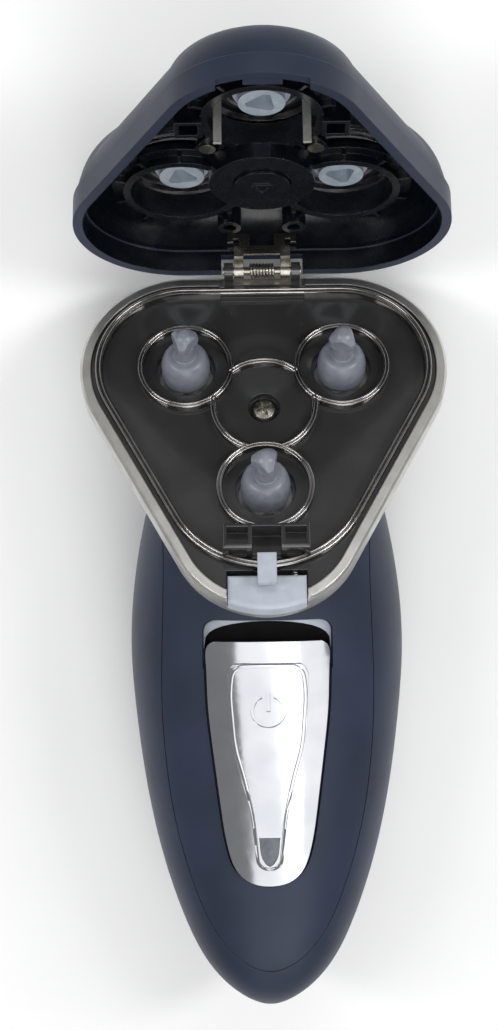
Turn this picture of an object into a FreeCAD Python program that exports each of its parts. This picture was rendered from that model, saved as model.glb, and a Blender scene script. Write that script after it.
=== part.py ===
import FreeCAD, Part
import math
import os
from functools import lru_cache

V = FreeCAD.Vector
os.makedirs("parts", exist_ok=True)

# The shaver lies on its back with the hair-chamber cover standing open.
# Handle frame: x across, y along the handle towards the heads, z out of the front.
# Head frame: x across, v towards the hinge, h out of the chamber plate, origin on its screw.
# The cover is drawn shut in the head frame and swung open about the hinge pin.

# Head and its drive
head_tilt = 37.0
head_y = 55.0
head_z = 29.0
gear_module = 0.5
pinion_teeth = 15
gear_teeth = 52
head_angles = {"right": 30.0, "left": 150.0, "front": 270.0}
corner_radius = 19.7
side_angle = 28.0
front_reach = 41.0

# Rim, plate and their raised lines
rim_width = 2.0
rim_height = 4.0
rim_chamfer = 0.5
plate_gap = 0.08
flange_level = -0.5
floor_level = -1.0
ridge_inset = 2.9
ridge_width = 1.25
ridge_top = 0.8
ridge_front_reach = 36.2
ridge_groove = 0.35
ring_height = 0.5
ring_width = 1.0
spindle_ring_radius = 8.9
centre_ring_radius = 9.9
spindle_hole_radius = 5.5

# Cover
cover_opening = 83.5
cover_gap = 0.15
cover_wall = 1.8
skirt_height = 5.2
skirt_step = 0.6
shell_top = 17.0
shell_skin = 1.6
deck_height = 13.4
deck_inset = 6.5
lobe_top_radius = 12.9
lobe_tuck = 0.25
hinge_v = 28.6
hinge_h = 1.2
pin_radius = 0.8
pin_half = 7.4
pin_clearance = 0.06

# Cutters
cutter_radius = 11.0
cutter_clearance = 0.25
cutter_top = 17.5
cutter_foil = 0.5
cutter_foot = 12.9
cutter_flange = 0.9
cutter_lip = 0.8
cutter_float = 1.0
track_inner = 6.2
track_outer = 9.6
slot_width = 0.5
slot_count = 36
blade_count = 15
blade_radius = 9.0
blade_width = 1.3
hub_radius = 5.0
hub_level = 12.0
socket_level = 10.2

# Spindles
bell_radius = 4.5
bell_foot = -1.9
bell_shoulder = 4.0
bell_shoulder_radius = 2.75
stub_radius = 1.9
tip_level = 8.2
tip_top = 11.6
tip_corner = 2.6
socket_clearance = 0.2
spindle_travel = 2.0

# Gear train levels
gear_top = -5.8
gear_thickness = 2.2
bracket_top = -9.2
bracket_thickness = 1.2
gear_cover_top = -3.4
gear_cover_thickness = 1.0
stud_radius = 0.75
running_clearance = 0.05
motor_radius = 10.2
motor_length = 14.0

# Handle
handle_wall = 2.0
seam = 0.12
section_power = 2.6
panel_floor = 20.0
recess_depth = 1.8
tray_thickness = 1.4
slider_proud = 0.9
slider_lift = 0.5
slider_gap = 0.5
slider_travel = 3.4
raised_step = 0.45
symbol_depth = 0.3

# Bowl under the chamber plate: inset from the head outline, level
bowl_rows = ((0.25, 0.0), (0.25, -4.0), (2.6, -9.0), (6.5, -14.0), (11.0, -19.0), (14.6, -22.5))

# Stations along the handle: y, half width, back level, front level
stations = (
    (-63.2, 2.4, 20.5, 27.5),
    (-61.3, 5.6, 17.3, 30.4),
    (-58.0, 9.5, 13.2, 33.2),
    (-53.5, 13.0, 9.6, 35.3),
    (-46.0, 16.6, 6.2, 37.0),
    (-34.0, 20.5, 2.9, 38.4),
    (-20.0, 23.4, 0.6, 39.6),
    (-5.0, 25.2, -0.5, 40.8),
    (8.0, 25.9, -0.7, 41.7),
    (20.0, 25.1, -0.7, 42.3),
    (31.0, 23.2, -0.7, 42.5),
    (44.0, 19.5, -0.2, 40.0),
    (58.0, 14.5, 2.8, 34.0),
)

# Front panel edge: y, half width
panel_edge = (
    (34.5, 18.9), (20.0, 19.0), (10.0, 19.4), (0.0, 19.6), (-10.7, 19.1), (-21.0, 17.9),
    (-31.3, 15.6), (-39.5, 12.9), (-45.7, 9.9), (-50.3, 6.0), (-53.1, 0.0),
)

# Slide switch outline: y, half width
slider_edge = (
    (13.5, 9.8), (12.7, 10.9), (9.5, 11.3), (2.4, 11.1), (-7.0, 10.3), (-18.5, 9.0),
    (-28.0, 7.5), (-31.9, 5.9), (-33.9, 3.5), (-34.6, 0.0),
)

# Raised field on the slide switch: y, half width
field_edge = (
    (9.3, 6.0), (8.4, 7.0), (4.5, 7.3), (-2.0, 7.1), (-7.0, 6.5), (-11.5, 5.6), (-16.5, 4.2),
    (-21.0, 3.2), (-26.5, 2.8), (-29.6, 1.9), (-31.2, 0.0),
)

# Charge window on the slide switch: y, half width
window_edge = ((-24.6, 2.0), (-27.2, 1.75), (-29.4, 1.1), (-30.4, 0.0))

# Power train and electrics in the handle
cell_radius = 7.1
cell_length = 50.0
cell_tip_radius = 2.6
cell_tip_height = 1.2
cell_spacing = 7.4
cell_level = 14.6
cell_start = -29.0
board_level = 27.0
board_thickness = 1.6
board_half = 12.5
board_start = -36.0
board_end = 12.0

tilt = FreeCAD.Rotation(V(1, 0, 0), -head_tilt)
head_place = FreeCAD.Placement(V(0, head_y, head_z), tilt)
pitch_radius = gear_module * (pinion_teeth + gear_teeth) / 2
corner_x = pitch_radius * math.cos(math.radians(30))
corner_v = pitch_radius * math.sin(math.radians(30))
side_n = (math.cos(math.radians(side_angle)), math.sin(math.radians(side_angle)))
side_distance = corner_x * side_n[0] - corner_v * side_n[1] + corner_radius
rear_reach = corner_v + corner_radius

# Smaller derived sizes shared by several pieces
plate_body = 1.9
screw_seat = -2.6
button_half = 7.0
button_floor = -2.3
button_top = 0.6
button_back = -34.7
button_travel = 1.0
button_clearance = 0.3
post_half = 1.7
post_reach = -31.7
nose_reach = -37.6
nose_foot = 2.4
nose_top = 3.4
catch_overlap = 0.6
catch_clearance = 0.2
catch_thickness = 0.9
catch_half = 3.2
arm_foot = -0.35
rear_inside = rear_reach - cover_wall
bracket_plane = rear_inside - 1.15
shoulder_level = cutter_foot + cutter_lip + 0.05
frame_level = 8.6
frame_foot = 7.0
frame_top = cutter_foot - cutter_float - 0.1
lobe_rows = ((skirt_height - 0.01, 0.0), (9.0, 0.08), (12.6, 0.35), (15.4, 0.74), (shell_top, 1.0))
post_radius = 1.0
post_top = 4.4
gear_hub_top = -3.0
shaft_radius = 0.9
motor_top = bracket_top - bracket_thickness - 0.2
motor_foot = motor_top - motor_length
bracket_points = ((23.0, corner_v), (-23.0, corner_v), (0.0, 17.6))
bracket_screw_foot = bracket_top - bracket_thickness - 4.0
cover_pillar = 13.2
boss_stations = (-38.0, 24.6)
chassis_level = 22.2
symbol_y = 0.4
inlet_half = 4.6
inlet_low = 20.6
inlet_high = 27.4
inlet_front = -60.6
inlet_back = -51.0
tip_turns = {"right": 75.0, "left": 20.0, "front": 50.0}


def box(x0, x1, y0, y1, z0, z1):
    return Part.makeBox(x1 - x0, y1 - y0, z1 - z0, V(x0, y0, z0))


def disc(radius, z0, z1, x=0.0, y=0.0):
    return Part.makeCylinder(radius, z1 - z0, V(x, y, z0))


def ring(outer, inner, z0, z1, x=0.0, y=0.0):
    return disc(outer, z0, z1, x, y).cut(disc(inner, z0 - 1, z1 + 1, x, y))


def turned(profile, x=0.0, y=0.0):
    points = [V(r, 0, z) for r, z in profile]
    face = Part.Face(Part.makePolygon(points + points[:1]))
    solid = face.revolve(V(0, 0, 0), V(0, 0, 1), 360)
    solid.translate(V(x, y, 0))
    return solid


def joined(shapes):
    first = shapes[0]
    for shape in shapes[1:]:
        first = first.fuse(shape)
    return first.removeSplitter()


def head_point(name):
    angle = math.radians(head_angles[name])
    return pitch_radius * math.cos(angle), pitch_radius * math.sin(angle)


def in_head(shape):
    moved = shape.copy()
    moved.Placement = head_place.multiply(moved.Placement)
    return moved


def in_cover(shape):
    moved = shape.copy()
    moved.rotate(V(0, hinge_v, hinge_h), V(1, 0, 0), -cover_opening)
    moved.Placement = head_place.multiply(moved.Placement)
    return moved


def export(name, shape):
    shape.exportStep("parts/" + name + ".step")
    print(name, len(shape.Solids), round(shape.Volume, 1), shape.isValid())


def front_radius(reach):
    return (side_distance - side_n[1] * reach) / (1 - side_n[1])


def outline(inset, h, reach=front_reach):
    # Rounded triangle of the head: two rear corners, straight sides and a front arc.
    rear = corner_radius - inset
    front = front_radius(reach) - inset
    front_v = front_radius(reach) - reach
    nx, nv = side_n
    bend = math.radians((90 - side_angle) / 2)
    arc_mid = V(corner_x + rear * math.cos(bend), corner_v + rear * math.sin(bend), h)
    top_right = V(corner_x, corner_v + rear, h)
    side_top = V(corner_x + rear * nx, corner_v - rear * nv, h)
    side_low = V(front * nx, front_v - front * nv, h)
    nose = V(0, front_v - front, h)

    def left(point):
        return V(-point.x, point.y, point.z)

    edges = [
        Part.makeLine(left(top_right), top_right),
        Part.Arc(top_right, arc_mid, side_top).toShape(),
        Part.makeLine(side_top, side_low),
        Part.Arc(side_low, nose, left(side_low)).toShape(),
        Part.makeLine(left(side_low), left(side_top)),
        Part.Arc(left(side_top), left(arc_mid), left(top_right)).toShape(),
    ]
    return Part.Wire(edges)


def slab(inset, h0, h1, reach=front_reach):
    return Part.Face(outline(inset, h0, reach)).extrude(V(0, 0, h1 - h0))


def stack(rows):
    return Part.makeLoft([outline(inset, h) for inset, h in rows], True, False)


def taper(inset0, h0, inset1, h1):
    return Part.makeLoft([outline(inset0, h0), outline(inset1, h1)], True, True)


def section(y, half, back, front):
    points = []
    count = 32
    for step in range(count):
        angle = 2 * math.pi * step / count
        cx, sz = math.cos(angle), math.sin(angle)
        x = half * math.copysign(abs(cx) ** (2 / section_power), cx)
        z = math.copysign(abs(sz) ** (2 / section_power), sz) * (front - back) / 2
        points.append(V(x, y, (front + back) / 2 + z))
    curve = Part.BSplineCurve()
    curve.interpolate(points, PeriodicFlag=True)
    return Part.Wire(curve.toShape())


@lru_cache(maxsize=None)
def handle_body(offset):
    # Handle skin grown or shrunk by offset, the tip moving along the handle with it.
    tip_start, tip_end = -40.0, stations[0][0]
    wires = []
    for y, half, back, front in stations:
        share = min(1.0, max(0.0, (tip_start - y) / (tip_start - tip_end)))
        spread = offset if offset > -half + 0.5 else -half + 0.5
        wires.append(section(y - offset * share, half + spread, back - spread, front + spread))
    return Part.makeLoft(wires, True, False)


def bowl(wall):
    rows = [(inset + wall, h) for inset, h in bowl_rows[:-1]]
    last_inset, last_h = bowl_rows[-1]
    return stack(rows + [(last_inset + wall / 2, last_h + wall)])


def above_level(level):
    return in_head(box(-90, 90, -90, 90, level, 160))


def edge_prism(edge, grow, z0, z1):
    # Upright prism over a mirrored outline that ends in a rounded toe.
    right = [V(half + grow, y, z0) for y, half in edge[:-1]]
    toe = V(0, edge[-1][0] - grow, z0)
    left = [V(-p.x, p.y, p.z) for p in reversed(right)]
    curve = Part.BSplineCurve()
    curve.interpolate(right + [toe] + left)
    head = [left[-1] + V(0, grow, 0), right[0] + V(0, grow, 0)]
    edges = [curve.toShape()]
    if grow:
        edges += [Part.makeLine(left[-1], head[0])]
    edges += [Part.makeLine(head[0], head[1])]
    if grow:
        edges += [Part.makeLine(head[1], right[0])]
    return Part.Face(Part.Wire(edges)).extrude(V(0, 0, z1 - z0))


def coil(radius, wire, x, y, z0, z1, turns):
    pitch = (z1 - z0 - 2 * wire) / turns
    helix = Part.makeHelix(pitch, pitch * turns, radius)
    start = Part.Wire(Part.makeCircle(wire, V(radius, 0, 0), V(0, 1, 0)))
    pipe = Part.Wire(helix.Edges).makePipeShell([start], True, False)
    pipe.translate(V(x, y, z0 + wire))
    return pipe


def gear_blank(teeth, phase, z0, z1):
    # Straight-flanked teeth, thinned at the pitch line to leave backlash.
    pitch_r = gear_module * teeth / 2
    step = 2 * math.pi / teeth
    points = []
    for tooth in range(teeth):
        middle = phase + tooth * step
        for radius, share in ((pitch_r - 1.2 * gear_module, -0.31), (pitch_r + gear_module, -0.11),
                              (pitch_r + gear_module, 0.11), (pitch_r - 1.2 * gear_module, 0.31)):
            angle = middle + share * step
            points.append(V(radius * math.cos(angle), radius * math.sin(angle), z0))
    return Part.Face(Part.makePolygon(points + points[:1])).extrude(V(0, 0, z1 - z0))


def three_corner(size, z0, z1, turn):
    # Three-cornered drive form with rounded corners, used for spindle tip and hub socket.
    points = []
    for step in range(3):
        angle = math.radians(turn + 120 * step)
        points.append(V(size * 1.35 * math.cos(angle), size * 1.35 * math.sin(angle), z0))
    prism = Part.Face(Part.makePolygon(points + points[:1])).extrude(V(0, 0, z1 - z0))
    return prism.common(disc(size, z0, z1))


# ---- Handle ----

def handle_shell():
    outer = handle_body(0.0).fuse(in_head(bowl(0.0))).cut(above_level(-rim_height))
    inner = handle_body(-handle_wall).fuse(in_head(bowl(handle_wall)))
    return outer.cut(inner).cut(box(-60, 60, -90, 120, -20, 0))


def rear_housing(shell):
    tub = shell.cut(edge_prism(panel_edge, seam, panel_floor, 80))
    room = handle_body(-handle_wall + 0.3)
    for y in boss_stations:
        boss = disc(2.6, 0.4, chassis_level, 0.0, y).cut(disc(1.0, 8.0, 40, 0.0, y))
        tub = tub.fuse(boss.common(room))
    skin = in_head(bowl(handle_wall - 0.3))
    for x, v in bracket_points:
        boss = disc(2.2, -20.5, bracket_top - bracket_thickness, x, v)
        boss = in_head(boss.cut(disc(0.85, bracket_screw_foot - 0.6, 0, x, v)))
        tub = tub.fuse(boss.common(skin))
    mouth = box(-inlet_half - 0.1, inlet_half + 0.1, -70, inlet_back, inlet_low - 0.1, inlet_high + 0.1)
    return tub.cut(mouth)


def front_panel(shell):
    panel = shell.common(edge_prism(panel_edge, 0.0, panel_floor, 80))
    deep = handle_body(-recess_depth)
    recess_top = slider_edge[0][0] + slider_travel + slider_gap
    tray = edge_prism(slider_edge, slider_gap + 1.4, 25, 60)
    tray = tray.fuse(box(-13.0, 13.0, 10, recess_top + 1.2, 25, 60))
    tray = tray.common(deep).cut(handle_body(-recess_depth - tray_thickness))
    panel = panel.fuse(tray)
    lid = box(-11.9, 11.9, 8, recess_top, 25, 44.5)
    lid = lid.makeFillet(2.4, [e for e in lid.Edges if upright(e) and e.BoundBox.YMin > 10])
    recess = edge_prism(slider_edge, slider_gap, 25, 60).fuse(lid).cut(deep)
    slot = box(-3.2, 3.2, -2.2, 4.2 + slider_travel, 25, 60)
    return panel.cut(recess).cut(slot)


def upright(edge):
    span = edge.BoundBox
    return span.ZLength > 5 and span.XLength < 0.01 and span.YLength < 0.01


def power_symbol():
    # Broken ring with a bar standing in its gap.
    loop = ring(3.3, 2.65, 25, 60, 0.0, symbol_y)
    wedge = Part.makePolygon([V(0, symbol_y, 25), V(2.6, symbol_y + 6, 25), V(-2.6, symbol_y + 6, 25),
                              V(0, symbol_y, 25)])
    loop = loop.cut(Part.Face(wedge).extrude(V(0, 0, 40)))
    return loop.fuse(box(-0.35, 0.35, symbol_y - 0.2, symbol_y + 3.5, 25, 60))


def slide_switch():
    body = edge_prism(slider_edge, 0.0, 25, 60).common(handle_body(slider_proud))
    body = body.cut(handle_body(-recess_depth + slider_lift))
    top = handle_body(slider_proud + raised_step)
    field = edge_prism(field_edge, 0.0, 25, 60).common(top).cut(handle_body(0.0))
    body = body.fuse(field)
    stem = box(-2.8, 2.8, -1.8, 3.8, 33.4, 40.8)
    foot = box(-4.6, 4.6, -3.0, 5.0, 35.4, 37.0)
    body = body.fuse(stem).fuse(foot).cut(box(-0.9, 0.9, 0.1, 1.9, 33, 35.7))
    cut_floor = handle_body(slider_proud + raised_step - symbol_depth)
    body = body.cut(power_symbol().cut(cut_floor))
    return body.cut(edge_prism(window_edge, 0.0, 38, 60).cut(handle_body(0.0)))


def charge_window():
    glass = edge_prism(window_edge, 0.0, 38, 60).common(handle_body(slider_proud + raised_step - 0.1))
    return glass.cut(handle_body(0.0))


def chassis():
    tray = box(-12, 12, boss_stations[0] - 3, boss_stations[1] + 2.8, chassis_level, chassis_level + 1.6)
    for y in boss_stations:
        tray = tray.cut(disc(1.2, 0, 40, 0.0, y))
    for x in (-9.0, 9.0):
        for y in (-30.0, 6.0):
            tray = tray.fuse(disc(2.0, chassis_level + 1.6, board_level, x, y))
    return tray


def chassis_screws():
    parts = []
    for y in boss_stations:
        top = chassis_level + 1.6
        parts.append(disc(1.0, 10.0, top, 0.0, y).fuse(disc(2.0, top, top + 1.2, 0.0, y)))
    return Part.makeCompound(parts)


def cell(side):
    foot = V(side * cell_spacing, cell_start, cell_level)
    shoulder = foot + V(0, cell_length - cell_tip_height, 0)
    can = Part.makeCylinder(cell_radius, cell_length - cell_tip_height, foot, V(0, 1, 0))
    tip = Part.makeCylinder(cell_tip_radius, cell_tip_height, shoulder, V(0, 1, 0))
    return can.fuse(tip)


def cell_tab(y):
    return box(-12.0, 12.0, y, y + 0.4, cell_level - 2.5, cell_level + 2.5)


def circuit_board():
    board = box(-board_half, board_half, board_start, board_end, board_level, board_level + board_thickness)
    return board.makeFillet(2.0, [e for e in board.Edges if e.BoundBox.ZLength > 1])


def switch_case():
    top = board_level + board_thickness
    case = box(-3.5, 3.5, -4.0, 9.5, top, top + 2.8)
    return case.cut(box(-1.1, 1.1, -0.3, 2.3 + slider_travel, top + 1.2, top + 4))


def switch_lever():
    return box(-0.8, 0.8, 0.2, 1.8, board_level + board_thickness + 1.5, 35.6)


def charge_led():
    top = board_level + board_thickness
    return disc(1.5, top, top + 2.4, 0.0, -25.0).fuse(Part.makeSphere(1.5, V(0, -25.0, top + 2.4)))


def charge_controller():
    top = board_level + board_thickness
    return box(4.5, 9.5, -24.0, -18.0, top, top + 1.2)


def wire_run(points, radius):
    curve = Part.BSplineCurve()
    curve.interpolate([V(*p) for p in points])
    path = Part.Wire(curve.toShape())
    start = Part.Wire(Part.makeCircle(radius, V(*points[0]), V(*points[1]) - V(*points[0])))
    return path.makePipeShell([start], True, False)


def motor_lead(side):
    start = in_head(Part.Vertex(side * 3.0, -6.0, motor_foot - 0.1)).Point
    back = in_head(Part.Vertex(side * 3.0, -6.0, motor_foot - 1.6)).Point
    run = [tuple(start), tuple(back), (side * 4.0, 31.0, 16.0), (side * 5.0, 28.6, 25.0),
           (side * 5.5, 21.0, 29.6), (side * 5.5, board_end - 0.6, board_level + board_thickness + 0.7)]
    return wire_run(run, 0.55)


def inlet_socket():
    body = box(-inlet_half, inlet_half, inlet_front, inlet_back, inlet_low, inlet_high)
    body = body.cut(box(-3.6, 3.6, inlet_front - 1, inlet_front + 6.5, inlet_low + 1.1, inlet_high - 1.1))
    return body.cut(inlet_pins())


def inlet_pins():
    middle = (inlet_low + inlet_high) / 2
    pins = [Part.makeCylinder(0.7, 8.6, V(x, inlet_front + 1.2, middle), V(0, 1, 0)) for x in (-1.8, 1.8)]
    return Part.makeCompound(pins)


# ---- Head: rim, plate, latch ----

def head_rim():
    body = slab(0.0, -rim_height, -rim_chamfer).fuse(taper(0.0, -rim_chamfer, rim_chamfer, 0.0))
    body = body.cut(slab(rim_width, -rim_height - 1, 1))
    ledge = slab(rim_width - 0.1, -rim_height, -rim_height + 0.8).cut(slab(rim_width + 1.6, -9, 1))
    body = body.fuse(ledge)
    body = body.cut(box(-button_half - 0.15, button_half + 0.15, -50, -36, button_floor - 0.2, 3))
    return body.cut(box(-8.2, 8.2, 25, 40, -0.55, 3)).removeSplitter()


def chamber_gasket():
    body = slab(rim_width + 0.3, -rim_height + 0.8, flange_level - plate_body)
    return body.cut(slab(rim_width + 1.5, -9, 1))


def chamber_plate():
    inset = rim_width + plate_gap
    plate = slab(inset, flange_level - plate_body, flange_level)
    inner = ridge_inset + ridge_width
    plate = plate.cut(slab(inner - 0.3, floor_level, 2, ridge_front_reach))
    ridge = slab(ridge_inset, floor_level, ridge_top - 0.3, ridge_front_reach)
    crown = Part.makeLoft([outline(ridge_inset, ridge_top - 0.3, ridge_front_reach),
                           outline(ridge_inset + 0.3, ridge_top, ridge_front_reach)], True, True)
    ridge = ridge.fuse(crown)
    middle = ridge_inset + ridge_width / 2
    groove = slab(middle - 0.17, ridge_top - ridge_groove, 2, ridge_front_reach)
    groove = groove.cut(slab(middle + 0.17, ridge_top - 1, 3, ridge_front_reach))
    ridge = ridge.cut(slab(inner, -3, 3, ridge_front_reach)).cut(groove)
    ridge = ridge.cut(box(-7.9, 7.9, 20, 40, floor_level, 3))
    plate = plate.fuse(ridge).fuse(box(-7.9, 7.9, 23.2, 24.1, floor_level - 0.1, 0.3))
    rings = []
    for name in head_angles:
        x, v = head_point(name)
        rings.append(raised_ring(spindle_ring_radius, x, v))
    centre = raised_ring(centre_ring_radius, 0.0, 0.0)
    for name in head_angles:
        x, v = head_point(name)
        centre = centre.cut(disc(spindle_ring_radius, -3, 3, x, v))
    plate = plate.fuse(joined(rings + [centre]))
    for name in head_angles:
        x, v = head_point(name)
        plate = plate.cut(disc(spindle_hole_radius, -6, 3, x, v))
    plate = plate.fuse(disc(4.2, gear_cover_top, floor_level - 1.2))
    plate = plate.cut(disc(3.0, screw_seat, 3)).cut(disc(1.1, -9, 3))
    arm_end = post_reach + button_travel + button_clearance
    button_end = button_back + button_travel + button_clearance
    plate = plate.cut(box(-post_half - 0.6, post_half + 0.6, -45, arm_end, floor_level, 3))
    plate = plate.cut(box(-button_half - 0.2, button_half + 0.2, -60, button_end, -9, 3))
    plate = plate.cut(box(4.1, 5.9, button_back, button_back + 2.35, -9, -0.8))
    return plate.cut(box(-7.85, 7.85, -31.05, -26.05, floor_level, 3)).removeSplitter()


def raised_ring(radius, x, v):
    body = ring(radius, radius - ring_width, floor_level - 0.1, floor_level + ring_height, x, v)
    groove = ring(radius - 0.36, radius - ring_width + 0.36, floor_level + 0.25, 3, x, v)
    return body.cut(groove)


def plate_screw():
    head = turned([(0, screw_seat), (2.5, screw_seat), (2.5, screw_seat + 0.35), (1.9, screw_seat + 1.0),
                   (1.0, screw_seat + 1.4), (0, screw_seat + 1.5)])
    for turn in (20, 110):
        slot = box(-1.4, 1.4, -0.3, 0.3, screw_seat + 0.4, 3)
        slot.rotate(V(0, 0, 0), V(0, 0, 1), turn)
        head = head.cut(slot)
    return head.fuse(disc(1.0, gear_cover_top - gear_cover_thickness, screw_seat))


def latch_guide():
    body = box(-7.8, 7.8, -31.0, -26.1, floor_level, 4.0)
    rims = [e for e in body.Edges if e.BoundBox.ZMin > 3.9 or upright(e)]
    body = body.makeFillet(0.5, rims)
    for side in (-1, 1):
        low, high = sorted((side * 3.3, side * 7.1))
        body = body.cut(box(low, high, -30.2, -26.9, 1.4, 5))
        body = body.cut(box(low + 0.3, high - 0.3, -32, -30.5, 0.2, 2.9))
    arm_end = post_reach + button_travel + button_clearance
    body = body.cut(box(-2.6, 2.6, -32, arm_end, arm_foot - button_clearance, 1))
    return body.cut(box(-2.6, 2.6, -32, -26.8, -0.2, 5))


def release_button():
    block = box(-button_half, button_half, -60, button_back, -9, 9)
    body = slab(-0.3, button_floor, button_top).common(block)
    rims = [e for e in body.Edges if e.BoundBox.ZMin > button_top - 0.01]
    body = body.makeFillet(0.7, rims)
    arm = box(-post_half, post_half, button_back - 0.5, post_reach, arm_foot, 0.5)
    post = box(-post_half, post_half, post_reach - 1.6, post_reach, arm_foot, nose_top)
    nose = box(-post_half, post_half, nose_reach, post_reach - 1.6, nose_foot, nose_top)
    return joined([body, arm, post, nose])


def button_spring():
    spring = coil(0.55, 0.15, 0.0, 0.0, 0.0, 2.2, 4.0)
    spring.rotate(V(0, 0, 0), V(1, 0, 0), -90)
    spring.translate(V(5.0, button_back + 0.05, -1.6))
    return spring


# ---- Hinge ----

def along_pin(radius, x0, x1):
    return Part.makeCylinder(radius, x1 - x0, V(x0, hinge_v, hinge_h), V(1, 0, 0))


def hinge_pin():
    return along_pin(pin_radius, -pin_half, pin_half)


def hinge_leaf():
    body = box(-7.2, 7.2, 25.3, 26.3, flange_level, flange_level + 0.5)
    for side in (-1, 1):
        low, high = sorted((side * 5.5, side * 7.2))
        arm = box(low, high, 25.3, hinge_v, flange_level, flange_level + 0.5)
        knuckle = along_pin(1.6, low, high)
        body = body.fuse(arm).fuse(knuckle)
    return body.cut(along_pin(pin_radius, -9, 9)).removeSplitter()


def hinge_bracket():
    # Stamped catch plate: feet curled round the pin, cross web and two hooked arms.
    back, front = bracket_plane - 0.6, bracket_plane
    base = hinge_h
    parts = [box(-5.3, 5.3, back, front, base + 1.5, base + 3.3)]
    for side in (-1, 1):
        for x0, x1, low, high in ((2.3, 4.4, 3.2, 4.8), (2.3, 6.5, 4.7, 5.8), (5.4, 6.5, 4.0, 4.8)):
            a, b = sorted((side * x0, side * x1))
            parts.append(box(a, b, back, front, base + low, base + high))
        a, b = sorted((side * 3.5, side * 5.3))
        parts.append(box(a, b, back, hinge_v, base + 1.0, base + 1.6))
        parts.append(along_pin(1.6, a, b))
    return joined(parts).cut(along_pin(pin_radius + pin_clearance, -9, 9))


def hinge_spring():
    spring = coil(1.22, 0.27, 0.0, 0.0, 0.0, 5.2, 8.0)
    spring.rotate(V(0, 0, 0), V(0, 1, 0), 90)
    spring.translate(V(-2.6, hinge_v, hinge_h))
    return spring


# ---- Drive ----

def spindle(turn):
    shoulder = []
    for step in range(9):
        angle = math.radians(90 * step / 8)
        r = bell_shoulder_radius + (bell_radius - bell_shoulder_radius) * math.cos(angle)
        shoulder.append((r, 0.2 + (bell_shoulder - 0.2) * math.sin(angle)))
    outer = [(0, bell_foot), (bell_radius, bell_foot)] + shoulder
    outer += [(2.2, bell_shoulder), (2.2, bell_shoulder + 0.4), (stub_radius, bell_shoulder + 0.5),
              (stub_radius, tip_level), (0, tip_level)]
    body = turned(outer)
    form = turned([(0, tip_level - 0.4), (2.2, tip_level - 0.4), (tip_corner, tip_level + 0.3),
                   (tip_corner, tip_level + 1.6), (1.5, tip_top - 0.5), (0.9, tip_top - 0.1), (0, tip_top)])
    tip = three_corner(tip_corner, tip_level - 0.4, tip_top + 0.2, turn).common(form)
    body = body.fuse(tip)
    body = body.cut(disc(3.5, bell_foot - 1, 2.2))
    return body.cut(disc(post_radius + running_clearance, 0, post_top + spindle_travel + 0.3))


def spindle_spring():
    return coil(2.1, 0.25, 0.0, 0.0, gear_hub_top, 2.2, 5.0)


def drive_gear(name):
    # A gap of each gear faces the pinion, whose teeth point at all three gears.
    phase = math.radians(head_angles[name] + 180) + math.pi / gear_teeth
    level = gear_top - gear_thickness
    gear = gear_blank(gear_teeth, phase, level, gear_top)
    for step in range(6):
        angle = math.radians(60 * step)
        gear = gear.cut(disc(2.4, level - 1, gear_top + 1, 7.8 * math.cos(angle), 7.8 * math.sin(angle)))
    gear = gear.fuse(disc(2.6, gear_top - 0.1, gear_hub_top))
    gear = gear.fuse(disc(post_radius, gear_hub_top - 0.1, post_top))
    return gear.cut(disc(stud_radius + running_clearance, level - 1, gear_hub_top - 0.6))


def drive_pinion():
    pinion = gear_blank(pinion_teeth, math.radians(270), -8.4, -5.0)
    return pinion.cut(disc(shaft_radius, -9, 0))


def motor_shaft():
    return disc(shaft_radius, motor_top - 0.2, -4.8)


def motor_can():
    can = disc(motor_radius, motor_foot + 1.0, motor_top)
    can = can.makeFillet(1.0, [e for e in can.Edges if e.BoundBox.ZMin > motor_top - 0.1])
    can = can.fuse(disc(3.0, motor_top - 0.1, bracket_top - 0.1))
    can = can.cut(disc(motor_radius - 0.8, motor_foot, motor_top - 1.0))
    return can.cut(disc(shaft_radius + running_clearance, motor_foot - 1, 0))


def motor_rotor():
    core = disc(motor_radius - 3.2, motor_foot + 2.2, motor_top - 1.6)
    for step in range(3):
        angle = math.radians(120 * step + 30)
        reach = motor_radius - 3.2
        core = core.cut(disc(1.6, -40, 0, reach * math.cos(angle), reach * math.sin(angle)))
    return core.fuse(disc(shaft_radius, motor_foot + 1.2, motor_top - 0.2))


def motor_magnets():
    outer, inner = motor_radius - 0.8, motor_radius - 2.6
    magnets = ring(outer, inner, motor_foot + 2.4, motor_top - 1.8)
    return magnets.cut(box(-40, 40, -1.2, 1.2, -60, 0))


def motor_cap():
    cap = disc(motor_radius, motor_foot, motor_foot + 1.0)
    return cap.cut(disc(shaft_radius + running_clearance, motor_foot + 0.4, motor_foot + 3))


def drive_bracket():
    plate = slab(6.2, bracket_top - bracket_thickness, bracket_top)
    plate = plate.cut(disc(3.05, -20, 0))
    for x, v in bracket_points:
        plate = plate.cut(disc(1.1, -20, 0, x, v))
    for name in head_angles:
        x, v = head_point(name)
        plate = plate.cut(disc(stud_radius, -20, 0, x, v))
    return plate


def gear_studs():
    studs = []
    for name in head_angles:
        x, v = head_point(name)
        studs.append(disc(stud_radius, bracket_top - bracket_thickness, gear_hub_top - 0.8, x, v))
    return Part.makeCompound(studs)


def bracket_screws():
    screws = []
    for x, v in bracket_points:
        head = disc(1.6, bracket_top, bracket_top + 0.9, x, v)
        screws.append(disc(0.85, bracket_screw_foot, bracket_top, x, v).fuse(head))
    return Part.makeCompound(screws)


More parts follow.
